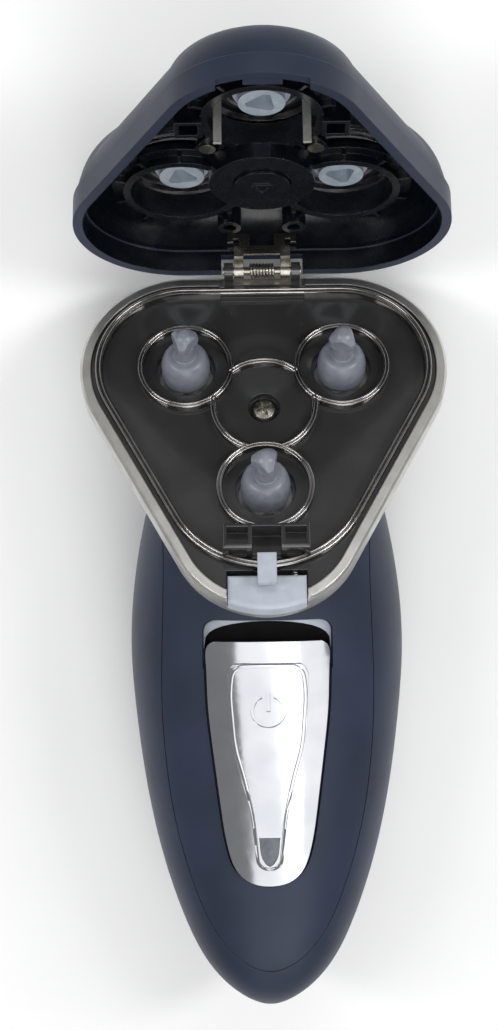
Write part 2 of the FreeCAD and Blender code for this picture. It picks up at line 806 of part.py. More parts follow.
def gear_cover():
    low = gear_cover_top - gear_cover_thickness
    cover = slab(4.4, low, gear_cover_top)
    for name in head_angles:
        x, v = head_point(name)
        cover = cover.cut(disc(bell_radius + 0.5, -20, 0, x, v))
    for angle in (90, 210, 330):
        x, v = cover_pillar * math.cos(math.radians(angle)), cover_pillar * math.sin(math.radians(angle))
        cover = cover.fuse(disc(1.6, bracket_top, low + 0.1, x, v))
    return cover.cut(disc(1.0, low - 1, 0))


# ---- Cover ----

def lobe(name, trim):
    # One head of the shell: a round that closes in and moves onto the cutter's axis as it rises.
    x, v = head_point(name)
    if name == "front":
        base_v, base_r = front_radius(front_reach) - front_reach, front_radius(front_reach)
        base_x = 0.0
    else:
        base_x, base_v, base_r = x, v, corner_radius
    wires = []
    for h, share in lobe_rows:
        start = base_r - skirt_step - lobe_tuck
        r = start + (lobe_top_radius - start) * share - trim
        centre = V(base_x, base_v + (v - base_v) * share, h - trim * share)
        wires.append(Part.Wire(Part.makeCircle(r, centre)))
    body = Part.makeLoft(wires, True, False)
    if trim:
        body = body.fuse(disc(start - trim, 1.0, lobe_rows[0][0] + 0.01, base_x, base_v))
    return body


def web(trim):
    rows = [(skirt_step, skirt_height - 0.01), (1.4, 9.0), (3.4, 12.0), (deck_inset, deck_height - trim)]
    body = stack([(inset + trim, h) for inset, h in rows])
    if trim:
        body = body.fuse(slab(skirt_step + trim, -2, skirt_height))
    return body


def cover_shell():
    skirt = slab(0.0, cover_gap, skirt_height - 0.4).fuse(taper(0.0, skirt_height - 0.4, 0.4, skirt_height))
    solid = skirt.fuse(web(0.0))
    hollow = slab(cover_wall, -2, skirt_height - 0.9).fuse(web(shell_skin))
    for name in head_angles:
        solid = solid.fuse(lobe(name, 0.0))
        hollow = hollow.fuse(lobe(name, shell_skin))
    shell = solid.cut(hollow)
    for name in head_angles:
        x, v = head_point(name)
        shell = shell.fuse(ring(lobe_top_radius - 0.4, cutter_radius, shoulder_level, shell_top - 0.6, x, v))
        shell = shell.cut(disc(cutter_radius + cutter_clearance, 4, 30, x, v))
        shell = shell.cut(disc(cutter_radius + cutter_flange + cutter_clearance, 4, shoulder_level, x, v))
    boss = ring(3.4, 2.1, 10.6, deck_height - 0.8)
    shell = shell.fuse(boss).cut(disc(2.1, 8, 12.0))
    for x, v in pillar_points():
        pillar = disc(1.7, frame_level + 1.3, deck_height - 0.8, x, v)
        shell = shell.fuse(pillar).cut(disc(0.9, frame_level, frame_level + 3.2, x, v))
    ledge_top = nose_foot - catch_clearance
    ledge_foot = ledge_top - catch_thickness
    ledge_end = nose_reach + catch_overlap
    ledge = box(-catch_half, catch_half, -front_reach + 0.9, ledge_end, ledge_foot, ledge_top)
    rib = box(-catch_half, catch_half, -front_reach + 0.9, -39.0, ledge_foot, 4.6)
    shell = shell.cut(box(-7.6, 7.6, -60, -36, -2, 1.1)).fuse(ledge).fuse(rib)
    shell = shell.cut(box(-7.7, 7.7, rear_inside - 0.1, 40, -2, hinge_h + 2.2))
    for side in (-1, 1):
        low, high = sorted((side * 2.6, side * 4.4))
        shell = shell.fuse(box(low, high, bracket_plane, rear_inside + 0.2, hinge_h + 2.3, hinge_h + 3.7))
    return shell


def pillar_points():
    return [(11.0 * math.cos(math.radians(a)), 11.0 * math.sin(math.radians(a))) for a in (90, 210, 330)]


def retaining_frame():
    parts = [disc(12.6, frame_level, frame_level + 1.3), ring(9.4, 8.3, 3.9, frame_level + 0.5),
             ring(9.4, 5.15, 3.9, 5.0)]
    for name in head_angles:
        x, v = head_point(name)
        parts.append(disc(12.8, frame_level, frame_level + 1.3, x, v))
        parts.append(disc(10.7, frame_foot, frame_top, x, v))
        for step in range(10):
            rib = box(9.9, 12.6, -0.3, 0.3, frame_level - 1.4, frame_level + 0.1)
            rib.rotate(V(0, 0, 0), V(0, 0, 1), 36 * step + 18)
            rib.translate(V(x, v, 0))
            parts.append(rib)
    for side in (-1, 1):
        parts.append(box(side * 12.6 - 2.4, side * 12.6 + 2.4, -18.2, -13.4, 5.6, frame_level + 1.3))
        parts.append(disc(2.2, 5.6, frame_level + 1.3, side * 6.0, 19.6))
        parts.append(box(side * 6.0 - 0.5, side * 6.0 + 0.5, 11.0, 20.0, frame_level - 1, frame_level + 1.3))
    frame = parts[0]
    for part in parts[1:]:
        frame = frame.fuse(part)
    for side in (-1, 1):
        frame = frame.cut(box(side * 12.6 - 1.6, side * 12.6 + 1.6, -17.4, -14.2, 4, 20))
        frame = frame.cut(disc(1.2, 4, 20, side * 6.0, 19.6))
    for name in head_angles:
        x, v = head_point(name)
        frame = frame.cut(disc(9.3, frame_foot - 0.1, 30, x, v))
        frame = frame.cut(disc(7.6, -1, frame_foot, x, v))
    x, v = head_point("front")
    for side in (-1, 1):
        low, high = sorted((side * 8.4, side * 9.8))
        frame = frame.fuse(box(low, high, v - 3.2, v - 1.2, frame_foot, frame_foot + 2.4))
    for px, pv in pillar_points():
        frame = frame.cut(disc(0.9, 5, 20, px, pv))
    return frame.cut(disc(5.15, 0, 6.3)).cut(disc(6.0, 5.0, 6.3)).cut(disc(2.1, 0, 20))


def lock_knob():
    knob = disc(4.95, 3.3, 6.2).fuse(disc(5.85, 5.05, 6.2)).fuse(disc(2.03, 6.1, 11.8))
    mark = three_corner(1.9, 2.9, 3.4, 90).cut(three_corner(1.2, 2.5, 3.1, 90))
    return knob.fuse(mark)


def frame_screws():
    screws = []
    for x, v in pillar_points():
        head = disc(1.5, frame_level - 0.8, frame_level, x, v)
        screws.append(disc(0.9, frame_level, frame_level + 3.0, x, v).fuse(head))
    return Part.makeCompound(screws)


def clip_springs():
    # Two upright stainless strips beside the front cutter, held in lugs of the frame.
    v = head_point("front")[1] - 2.2
    strips = []
    for side in (-1, 1):
        low, high = sorted((side * 6.9, side * 8.3))
        strip = box(low, high, v - 0.25, v + 0.25, 1.2, 10.2)
        low, high = sorted((side * 6.9, side * 7.4))
        strips.append(strip.fuse(box(low, high, v - 0.25, v + 1.3, 9.7, 10.2)))
    return Part.makeCompound(strips)


def outer_cutter():
    cup = disc(cutter_radius, cutter_foot, cutter_top)
    cup = cup.makeFillet(0.6, [e for e in cup.Edges if e.BoundBox.ZMin > cutter_top - 0.1])
    cup = cup.fuse(disc(cutter_radius + cutter_flange, cutter_foot, cutter_foot + cutter_lip))
    cup = cup.cut(disc(cutter_radius - 0.7, cutter_foot - 1, cutter_top - cutter_foil))
    cup = cup.cut(ring(track_inner - 0.3, track_inner - 0.9, cutter_top - 0.25, cutter_top + 1))
    slots = []
    for step in range(slot_count):
        slot = box(track_inner, track_outer, -slot_width / 2, slot_width / 2, cutter_top - 3, cutter_top + 1)
        slot.rotate(V(0, 0, 0), V(0, 0, 1), 360 * step / slot_count)
        slots.append(slot)
    cup = cup.cut(Part.makeCompound(slots))
    return cup.fuse(disc(1.1, cutter_top - 2.4, cutter_top - 0.3))


def inner_cutter():
    base = hub_level + 1.2
    carrier = ring(blade_radius, 4.0, base, base + 0.7)
    carrier = carrier.fuse(ring(7.3, 6.7, base - 0.3, base + 0.1))
    blades = ring(blade_radius, blade_radius - blade_width, base + 0.6, cutter_top - cutter_foil - 0.05)
    gaps = []
    for step in range(blade_count):
        gap = box(blade_radius - 3, blade_radius + 1, -1.25, 1.25, base + 0.9, cutter_top)
        gap.rotate(V(0, 0, 0), V(0, 0, 1), 360 * step / blade_count)
        gaps.append(gap)
    return carrier.fuse(blades.cut(Part.makeCompound(gaps)))


def cutter_hub(turn):
    base = hub_level + 1.2
    hub = disc(hub_radius, hub_level, base).fuse(disc(4.1, socket_level, hub_level + 0.1))
    hub = hub.fuse(disc(4.0, base - 0.1, base + 2.2))
    socket = three_corner(tip_corner + socket_clearance, socket_level - 1, base + 0.3, turn)
    hub = hub.cut(socket)
    return hub.cut(disc(1.1 + running_clearance, base + 0.9, base + 3))


def export_handle():
    shell = handle_shell()
    export("rear_housing", rear_housing(shell))
    export("front_panel", front_panel(shell))
    export("slide_switch", slide_switch())
    export("charge_window", charge_window())
    export("chassis", chassis())
    export("chassis_screws", chassis_screws())
    export("battery_cells", Part.makeCompound([cell(-1), cell(1)]))
    export("cell_tabs", Part.makeCompound([cell_tab(cell_start - 0.4), cell_tab(cell_start + cell_length)]))
    export("circuit_board", circuit_board())
    export("switch_case", switch_case())
    export("switch_lever", switch_lever())
    export("charge_led", charge_led())
    export("charge_controller", charge_controller())
    export("motor_leads", Part.makeCompound([motor_lead(-1), motor_lead(1)]))
    export("inlet_socket", inlet_socket())
    export("inlet_pins", inlet_pins())


def export_head():
    for make in (head_rim, chamber_gasket, chamber_plate, plate_screw, latch_guide, release_button,
                 button_spring, hinge_pin, hinge_leaf, hinge_spring, drive_pinion, motor_shaft, motor_can,
                 motor_rotor,
                 motor_magnets, motor_cap, drive_bracket, gear_studs, bracket_screws, gear_cover):
        export(make.__name__, in_head(make()))
    for name in head_angles:
        place = V(*head_point(name), 0.0)
        for label, shape in (("spindle_", spindle(tip_turns[name])), ("spindle_spring_", spindle_spring()),
                             ("drive_gear_", drive_gear(name))):
            export(label + name, in_head(shape.translated(place)))


def export_cover():
    for make in (cover_shell, hinge_bracket, retaining_frame, lock_knob, frame_screws, clip_springs):
        export(make.__name__, in_cover(make()))
    for name in head_angles:
        place = V(*head_point(name), 0.0)
        for label, shape in (("outer_cutter_", outer_cutter()), ("inner_cutter_", inner_cutter()),
                             ("cutter_hub_", cutter_hub(tip_turns[name]))):
            export(label + name, in_cover(shape.translated(place)))


export_handle()
export_head()
export_cover()
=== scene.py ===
import math

import bmesh
import bpy
from mathutils import Matrix, Vector


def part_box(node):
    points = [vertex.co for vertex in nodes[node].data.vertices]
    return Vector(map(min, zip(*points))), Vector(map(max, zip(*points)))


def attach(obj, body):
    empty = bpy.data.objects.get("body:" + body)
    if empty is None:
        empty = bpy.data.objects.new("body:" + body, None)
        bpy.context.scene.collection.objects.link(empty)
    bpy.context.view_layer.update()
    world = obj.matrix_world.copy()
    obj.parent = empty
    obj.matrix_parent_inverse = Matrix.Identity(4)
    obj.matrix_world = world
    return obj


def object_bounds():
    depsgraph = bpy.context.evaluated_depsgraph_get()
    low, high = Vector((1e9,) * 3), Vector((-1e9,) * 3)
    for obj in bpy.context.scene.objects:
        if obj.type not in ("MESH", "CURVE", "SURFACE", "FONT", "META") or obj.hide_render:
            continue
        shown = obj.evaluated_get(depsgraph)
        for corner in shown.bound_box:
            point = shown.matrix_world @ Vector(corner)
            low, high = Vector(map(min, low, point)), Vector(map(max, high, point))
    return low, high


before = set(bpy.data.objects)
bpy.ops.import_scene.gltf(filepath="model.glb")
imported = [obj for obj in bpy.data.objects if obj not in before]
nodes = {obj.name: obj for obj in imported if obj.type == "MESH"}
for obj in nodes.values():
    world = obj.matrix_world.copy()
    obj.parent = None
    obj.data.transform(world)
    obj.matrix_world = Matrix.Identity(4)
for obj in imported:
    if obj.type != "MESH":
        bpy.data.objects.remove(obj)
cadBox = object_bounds()
mm = 0.001

# ---- helpers shared by the finishes and the pieces ----


def hexColour(code):
    # an sRGB hex value turned to the linear colour that sockets take
    parts = [int(code[i:i + 2], 16) / 255 for i in (1, 3, 5)]
    linear = [c / 12.92 if c <= 0.04045 else ((c + 0.055) / 1.055) ** 2.4 for c in parts]
    return (*linear, 1.0)


def addNode(tree, kind, settings=None, links=None):
    node = tree.nodes.new("ShaderNode" + kind)
    for name, value in (settings or {}).items():
        if isinstance(name, str) and hasattr(node, name):
            setattr(node, name, value)
        else:
            node.inputs[name].default_value = value
    for name, socket in (links or {}).items():
        tree.links.new(socket, node.inputs[name])
    return node


def startFinish(name, colour, metallic, roughness, extra=None):
    # a material with one Principled shader, and the place of each point on the object
    material = bpy.data.materials.new(name)
    material.use_nodes = True
    tree = material.node_tree
    tree.nodes.clear()
    settings = {"Base Color": hexColour(colour), "Metallic": metallic, "Roughness": roughness}
    settings.update(extra or {})
    shader = addNode(tree, "BsdfPrincipled", settings)
    output = addNode(tree, "OutputMaterial")
    tree.links.new(shader.outputs["BSDF"], output.inputs["Surface"])
    place = addNode(tree, "TexCoord").outputs["Object"]
    return material, tree, shader, place


def grainOf(sizeMm):
    # noise scale whose grains are about this wide
    return 1 / (sizeMm * mm)


def mottle(tree, shader, place, colours, sizeMm, detail=2.0):
    # the base colour drifts between two close shades
    noise = addNode(tree, "TexNoise", {"Scale": grainOf(sizeMm), "Detail": detail}, {"Vector": place})
    ramp = addNode(tree, "ValToRGB", {}, {"Fac": noise.outputs["Fac"]})
    ramp.color_ramp.elements[0].position = 0.35
    ramp.color_ramp.elements[0].color = hexColour(colours[0])
    ramp.color_ramp.elements[1].position = 0.65
    ramp.color_ramp.elements[1].color = hexColour(colours[1])
    tree.links.new(ramp.outputs["Color"], shader.inputs["Base Color"])
    return noise


def roughen(tree, shader, place, low, high, sizeMm, stretch=(1, 1, 1)):
    # the gloss varies over the surface, drawn out along one axis where the surface is brushed
    mapping = addNode(tree, "Mapping", {"Scale": stretch}, {"Vector": place})
    noise = addNode(tree, "TexNoise", {"Scale": grainOf(sizeMm), "Detail": 3.0},
                    {"Vector": mapping.outputs["Vector"]})
    spread = addNode(tree, "MapRange", {"To Min": low, "To Max": high}, {"Value": noise.outputs["Fac"]})
    tree.links.new(spread.outputs["Result"], shader.inputs["Roughness"])
    return noise


def relief(tree, shader, height, depthMm, edgeMm=0.0, strength=1.0):
    # surface relief of a real depth, over edges rounded to a real radius
    links = {"Height": height}
    if edgeMm:
        edge = addNode(tree, "Bevel", {"samples": 6, "Radius": edgeMm * mm})
        links["Normal"] = edge.outputs["Normal"]
    bump = addNode(tree, "Bump", {"Strength": strength, "Distance": depthMm * mm}, links)
    tree.links.new(bump.outputs["Normal"], shader.inputs["Normal"])


# ---- finishes ----


def softTouchLacquer():
    # ABS under rubbery polyurethane lacquer: deep navy, satin, with a fine even texture
    material, tree, shader, place = startFinish(
        "softTouchLacquerOnAbs", "#252c3e", 0.0, 0.46, {"IOR": 1.5, "Specular IOR Level": 0.3})
    mottle(tree, shader, place, ("#232a3b", "#283044"), 14.0)
    roughen(tree, shader, place, 0.4, 0.5, 6.0)
    grain = addNode(tree, "TexNoise", {"Scale": grainOf(0.35), "Detail": 2.0}, {"Vector": place})
    relief(tree, shader, grain.outputs["Fac"], 0.012, 0.25)
    return material


def coverInside():
    # the inner face of the cover moulding, uncoated black ABS: glossy near-black
    material, tree, shader, place = startFinish("mouldedBlackAbs", "#07090f", 0.0, 0.25, {"IOR": 1.53})
    mottle(tree, shader, place, ("#06080d", "#0a0d15"), 5.0)
    roughen(tree, shader, place, 0.2, 0.34, 2.5)
    grain = addNode(tree, "TexNoise", {"Scale": grainOf(0.6), "Detail": 2.0}, {"Vector": place})
    relief(tree, shader, grain.outputs["Fac"], 0.01, 0.15)
    return material


def blackChrome():
    # ABS plated with black nickel under a smoke-tinted lacquer: a dark mirror with faint rinse marks
    material, tree, shader, place = startFinish("lacqueredBlackNickelPlate", "#4a4a4b", 0.6, 0.1)
    mottle(tree, shader, place, ("#474748", "#4e4e4e"), 9.0)
    roughen(tree, shader, place, 0.06, 0.14, 3.0)
    grain = addNode(tree, "TexNoise", {"Scale": grainOf(1.6), "Detail": 2.0}, {"Vector": place})
    relief(tree, shader, grain.outputs["Fac"], 0.006, 0.18)
    return material


def paintedLineHighlightNickel():
    # a lighter copy of the plate's black nickel for its raised lines, a painted highlight for the light their
    # rounded edges catch: brighter, with a grey cast; their glints come from the lamps
    material, tree, shader, place = startFinish("paintedHighlightNickelPlate", "#9b9997", 1.0, 0.1)
    mottle(tree, shader, place, ("#928f8e", "#a4a2a0"), 3.0)
    roughen(tree, shader, place, 0.08, 0.16, 1.5)
    grain = addNode(tree, "TexNoise", {"Scale": grainOf(1.2), "Detail": 2.0}, {"Vector": place})
    relief(tree, shader, grain.outputs["Fac"], 0.006, 0.12)
    return material


def satinNickel():
    # satin nickel plating on the rim: pale grey metal with a soft stretched grain
    material, tree, shader, place = startFinish("satinNickelPlate", "#c4c3bf", 1.0, 0.3)
    mottle(tree, shader, place, ("#bcbbb7", "#cccbc7"), 4.0)
    noise = roughen(tree, shader, place, 0.24, 0.38, 0.5, (1, 1, 6))
    relief(tree, shader, noise.outputs["Fac"], 0.006, 0.3)
    return material


def brightChrome():
    # bright chrome plating on a moulded slider: a clean mirror, a little wavy
    material, tree, shader, place = startFinish("brightChromePlate", "#b4b6ba", 1.0, 0.08)
    mottle(tree, shader, place, ("#b0b2b7", "#b9babe"), 8.0)
    roughen(tree, shader, place, 0.06, 0.14, 3.0)
    grain = addNode(tree, "TexNoise", {"Scale": grainOf(5.0), "Detail": 1.0}, {"Vector": place})
    relief(tree, shader, grain.outputs["Fac"], 0.008, 0.06)
    return material


def satinStrip():
    # tumbled stainless strip: bright and even, with no clear reflection
    material, tree, shader, place = startFinish("tumbledStainlessStrip", "#e6e6e2", 1.0, 0.5)
    mottle(tree, shader, place, ("#dededa", "#eeeeea"), 0.8)
    noise = roughen(tree, shader, place, 0.42, 0.58, 0.3)
    relief(tree, shader, noise.outputs["Fac"], 0.008, 0.06)
    return material


def paintedSlotShade():
    # painted shade: a matt near-black with no gloss left, for the shade deep in the switch's slot
    material, tree, shader, place = startFinish(
        "paintedShadeMattBlack", "#030304", 0.0, 0.6, {"Specular IOR Level": 0.1})
    mottle(tree, shader, place, ("#020203", "#050506"), 3.0)
    noise = roughen(tree, shader, place, 0.55, 0.7, 1.0)
    relief(tree, shader, noise.outputs["Fac"], 0.01, 0.1)
    return material


def greyAcetal():
    # turned and moulded acetal: slippery blue-grey plastic with a waxy sheen
    material, tree, shader, place = startFinish(
        "mouldedGreyAcetal", "#777b85", 0.0, 0.34, {"IOR": 1.48, "Subsurface Weight": 0.05,
                                                     "Subsurface Scale": 0.5 * mm})
    mottle(tree, shader, place, ("#727680", "#7e828c"), 1.6)
    noise = roughen(tree, shader, place, 0.28, 0.42, 0.8)
    relief(tree, shader, noise.outputs["Fac"], 0.01, 0.25)
    return material


def paleButton():
    # the release button, pale blue-grey ABS: smooth, slightly shiny
    material, tree, shader, place = startFinish("mouldedPaleAbs", "#aeb5c0", 0.0, 0.3, {"IOR": 1.53})
    mottle(tree, shader, place, ("#a9b0bb", "#b4bbc6"), 3.0)
    noise = roughen(tree, shader, place, 0.26, 0.38, 0.9)
    relief(tree, shader, noise.outputs["Fac"], 0.012, 0.3)
    return material


def stainless():
    # pressed stainless sheet and drawn wire: warm grey metal with rolling marks
    material, tree, shader, place = startFinish("rolledStainlessSteel", "#a9a69c", 1.0, 0.25)
    mottle(tree, shader, place, ("#9c998f", "#b5b2a8"), 1.5)
    noise = roughen(tree, shader, place, 0.18, 0.36, 0.25, (6, 1, 1))
    relief(tree, shader, noise.outputs["Fac"], 0.006, 0.08)
    return material


def groundSteel():
    # hardened cutter steel, lapped on its face: bright, with fine rings of grinding
    material, tree, shader, place = startFinish("lappedCutterSteel", "#c4c4c6", 1.0, 0.2)
    mottle(tree, shader, place, ("#bababd", "#cdcdcf"), 1.2)
    noise = roughen(tree, shader, place, 0.14, 0.3, 0.3)
    relief(tree, shader, noise.outputs["Fac"], 0.004, 0.08)
    return material


def hubLens():
    # the pale blue coupling hub of a cutter: clear-looking moulded polymer
    material, tree, shader, place = startFinish(
        "mouldedPaleBlueAcetal", "#b4bfca", 0.0, 0.22, {"IOR": 1.48, "Coat Weight": 0.3,
                                                         "Coat Roughness": 0.1})
    mottle(tree, shader, place, ("#abb7c3", "#bdc8d2"), 2.0)
    noise = roughen(tree, shader, place, 0.18, 0.3, 1.0)
    relief(tree, shader, noise.outputs["Fac"], 0.01, 0.15)
    return material


def smokedAcrylic():
    # tinted acrylic over the charge lamp: dark and glassy
    material, tree, shader, place = startFinish(
        "mouldedSmokedAcrylic", "#4a4f5a", 0.0, 0.08, {"IOR": 1.49, "Coat Weight": 0.5})
    mottle(tree, shader, place, ("#3d424d", "#565b66"), 2.0)
    noise = roughen(tree, shader, place, 0.06, 0.12, 1.0)
    relief(tree, shader, noise.outputs["Fac"], 0.008, 0.15)
    return material


def innerFinish(name, colours, metallic, roughness, grainMm, depthMm, extra=None):
    # the plainer finish of a piece inside the housing, from its own shades, gloss and grain
    material, tree, shader, place = startFinish(name, colours[0], metallic, roughness, extra)
    mottle(tree, shader, place, colours, grainMm * 4)
    noise = roughen(tree, shader, place, roughness * 0.8, roughness * 1.25, grainMm)
    relief(tree, shader, noise.outputs["Fac"], depthMm, 0.1)
    return material


spindleNames = ("right", "left", "front")


def each(stem):
    return [f"{stem}_{name}" for name in spindleNames]


visibleFinishes = (
    (softTouchLacquer, ["rear_housing", "front_panel", "cover_shell"]),
    (blackChrome, ["chamber_plate", "hinge_leaf", "latch_guide"]),
    (satinNickel, ["head_rim"]),
    (brightChrome, ["slide_switch"]),
    (satinStrip, ["clip_springs"]),
    (greyAcetal, each("spindle")),
    (paleButton, ["release_button"]),
    (stainless, ["hinge_pin", "hinge_bracket", "hinge_spring", "plate_screw",
                 "frame_screws", "button_spring", *each("spindle_spring")]),
    (groundSteel, [*each("outer_cutter"), *each("inner_cutter")]),
    (hubLens, each("cutter_hub")),
    (smokedAcrylic, ["charge_window"]),
    (coverInside, ["retaining_frame", "lock_knob"]),
)
# name, two shades, metallic, roughness, grain in mm, relief depth in mm, nodes
innerFinishes = (
    ("glassFilledNylon", ("#1b1d20", "#24272b"), 0.0, 0.55, 0.4, 0.02, ["chassis", "switch_case"]),
    ("zincPlatedSteel", ("#9aa0a8", "#b4b9bf"), 1.0, 0.32, 0.6, 0.008,
     ["chassis_screws", "motor_can", "drive_bracket", "bracket_screws"]),
    ("printedCellWrap", ("#2c6a4a", "#37805a"), 0.0, 0.35, 1.2, 0.01, ["battery_cells"]),
    ("nickelStrip", ("#b9b8b0", "#c9c8c1"), 1.0, 0.28, 0.4, 0.006, ["cell_tabs", "inlet_pins"]),
    ("solderMaskOnGlassEpoxy", ("#1f5a33", "#27693d"), 0.0, 0.3, 0.5, 0.01, ["circuit_board"]),
    ("mouldedWhiteNylon", ("#d9d8d2", "#e5e4df"), 0.0, 0.4, 0.6, 0.012, ["switch_lever", "motor_cap"]),
    ("clearLedEpoxy", ("#6f8fd8", "#86a3e4"), 0.0, 0.12, 0.8, 0.004, ["charge_led"]),
    ("mouldedBlackEpoxy", ("#15161a", "#1d1f24"), 0.0, 0.45, 0.3, 0.012, ["charge_controller"]),
    ("extrudedRedPvc", ("#a32020", "#b52a28"), 0.0, 0.38, 0.7, 0.01, ["motor_leads"]),
    ("mouldedBlackNylon", ("#101114", "#191b1f"), 0.0, 0.4, 0.5, 0.012, ["inlet_socket"]),
    ("mouldedNitrileRubber", ("#141414", "#1d1d1d"), 0.0, 0.7, 0.35, 0.02, ["chamber_gasket"]),
    ("turnedBrass", ("#b48a3c", "#c79c4b"), 1.0, 0.25, 0.3, 0.006, ["drive_pinion"]),
    ("groundShaftSteel", ("#a8abb0", "#bbbec2"), 1.0, 0.18, 0.3, 0.004, ["motor_shaft", "gear_studs"]),
    ("enamelledCopper", ("#9c4a22", "#b25a2c"), 1.0, 0.3, 0.3, 0.02, ["motor_rotor"]),
    ("sinteredFerrite", ("#2e2e31", "#3a3a3e"), 0.0, 0.6, 0.4, 0.02, ["motor_magnets"]),
    ("mouldedNaturalAcetal", ("#dcdcd4", "#e8e8e1"), 0.0, 0.36, 0.8, 0.01, each("drive_gear")),
    ("mouldedGreyAbs", ("#565a62", "#62666f"), 0.0, 0.42, 0.6, 0.015, ["gear_cover"]),
)


def paint(material, names):
    for name in names:
        mesh = nodes[name].data
        mesh.materials.clear()
        mesh.materials.append(material)


for makeFinish, names in visibleFinishes:
    paint(makeFinish(), names)
for name, colours, metallic, roughness, grainMm, depthMm, names in innerFinishes:
    paint(innerFinish(name, colours, metallic, roughness, grainMm, depthMm), names)


def boxMiddle(name):
    low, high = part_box(name)
    return (low + high) / 2


def paintInside(name, finish, eyes, outward):
    # a second finish on the faces that lie under the shell and can be seen from points inside it
    found = nodes[name]
    found.data.materials.append(finish)
    for face in found.data.polygons:
        if not found.ray_cast(face.center + face.normal * 0.02 * mm, outward)[0]:
            continue
        for eye in eyes:
            toFace = face.center - eye
            if face.normal.dot(toFace) >= 0:
                continue
            hit, point, normal, index = found.ray_cast(eye, toFace.normalized())
            if hit and (point - face.center).length < 0.05 * mm:
                face.material_index = 1
                break


coverEyes = []
for outer, hub in zip(each("outer_cutter"), each("cutter_hub")):
    inward = boxMiddle(hub) - boxMiddle(outer)
    coverEyes += [boxMiddle(hub) + inward * reach for reach in (0.3, 0.8, 1.3)]
coverMiddle = sum(coverEyes, Vector()) / len(coverEyes)
coverEyes += [coverMiddle + (eye - coverMiddle) * 0.5 for eye in coverEyes] + [coverMiddle]
coverEyes += [coverMiddle + (eye - coverMiddle) * 1.35 for eye in coverEyes[2:9:3]]
coverOut = boxMiddle("outer_cutter_front") - boxMiddle("cutter_hub_front")
paintInside("cover_shell", coverInside(), coverEyes, coverOut.normalized())
print("finishes made:", len(bpy.data.materials))

# ---- pieces drawn on the chamber plate, in the head's own frame ----

head = {
    "tilt": 37.0,                    # degrees the head leans back from the handle
    "screw": (0.0, 55.0, 29.0),      # middle of the plate, mm on the object
    "pitch": 16.75,                  # from the screw to each spindle
    "corner": 19.7,                  # radius of the head's rear corners
    "side": 28.0,                    # degrees the sides lean in
    "spindleAngles": (30.0, 150.0, 270.0),
}
headTurn = Matrix.Rotation(-math.radians(head["tilt"]), 4, "X")
headPlace = Matrix.Translation(Vector(head["screw"]) * mm) @ headTurn @ Matrix.Scale(mm, 4)


def finishPiece(name, shape, body, finish, place=headPlace, smooth=35.0):
    # closes the shape, puts it in its place on the object and hands it over
    bmesh.ops.remove_doubles(shape, verts=shape.verts, dist=0.002)
    bmesh.ops.recalc_face_normals(shape, faces=shape.faces)
    bmesh.ops.transform(shape, matrix=place, verts=shape.verts)
    mesh = bpy.data.meshes.new(name)
    shape.to_mesh(mesh)
    shape.free()
    mesh.materials.append(finish)
    mesh.shade_smooth()
    mesh.set_sharp_from_angle(angle=math.radians(smooth))
    piece = bpy.data.objects.new(name, mesh)
    bpy.context.scene.collection.objects.link(piece)
    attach(piece, body)
    return piece


def twinBead(width, foot, top, across, steps=6):
    # section of a raised double line, as a chain of points standing across the way it runs
    r = width / 4
    chain = [(-width / 2, foot)]
    for centre in (-r, r):
        for step in range(steps + 1):
            turn = math.pi * step / steps
            chain.append((centre - r * math.cos(turn), top - r + r * math.sin(turn)))
    chain.append((width / 2, foot))
    return [Vector((across[0] + across[2] * t, across[1] + across[3] * t, h)) for t, h in chain]


def startRail(chain):
    shape = bmesh.new()
    verts = [shape.verts.new(p) for p in chain]
    edges = [shape.edges.new(pair) for pair in zip(verts, verts[1:])]
    return shape, verts + edges


def onlyRail(found):
    return [g for g in found if isinstance(g, (bmesh.types.BMVert, bmesh.types.BMEdge))]


def turnRail(shape, end, centre, degrees, steps=24):
    # carries the section round an upright axis
    made = bmesh.ops.spin(shape, geom=end, cent=(*centre, 0), axis=(0, 0, 1),
                          angle=math.radians(degrees), steps=steps, use_duplicate=False)
    return onlyRail(made["geom_last"])


def pushRail(shape, end, shift):
    # carries the section straight on
    edges = [g for g in end if isinstance(g, bmesh.types.BMEdge)]
    made = bmesh.ops.extrude_edge_only(shape, edges=edges)["geom"]
    fresh = [g for g in made if isinstance(g, bmesh.types.BMVert)]
    bmesh.ops.translate(shape, verts=fresh, vec=shift)
    return fresh + [g for g in made if isinstance(g, bmesh.types.BMEdge)
                    and all(v in fresh for v in g.verts)]


cornerX = head["pitch"] * math.cos(math.radians(30))
cornerV = head["pitch"] * math.sin(math.radians(30))
sideCos = math.cos(math.radians(head["side"]))
sideSin = math.sin(math.radians(head["side"]))


def frontCircle(reach):
    # radius of the front arc that meets both sides and reaches this far forward
    distance = cornerX * sideCos - cornerV * sideSin + head["corner"]
    return (distance - sideSin * reach) / (1 - sideSin)


def triangleRail(inset, reach, width, foot, top):
    # a double line round the head, this far in from its edge
    rear = head["corner"] - inset
    front = frontCircle(reach) - inset
    frontV = frontCircle(reach) - reach
    turn = 90 + head["side"]
    shape, end = startRail(twinBead(width, foot, top, (cornerX, cornerV + rear, 0, 1)))
    end = turnRail(shape, end, (cornerX, cornerV), -turn)
    sideTop = Vector((cornerX + rear * sideCos, cornerV - rear * sideSin, 0))
    sideLow = Vector((front * sideCos, frontV - front * sideSin, 0))
    end = pushRail(shape, end, sideLow - sideTop)
    end = turnRail(shape, end, (0, frontV), -2 * (90 - head["side"]))
    end = pushRail(shape, end, Vector((sideLow.x - sideTop.x, sideTop.y - sideLow.y, 0)))
    end = turnRail(shape, end, (-cornerX, cornerV), -turn)
    pushRail(shape, end, Vector((2 * cornerX, 0, 0)))
    return shape


plateLine = {"inset": 3.52, "reach": 36.2, "width": 1.42, "foot": -1.0, "top": 0.86}


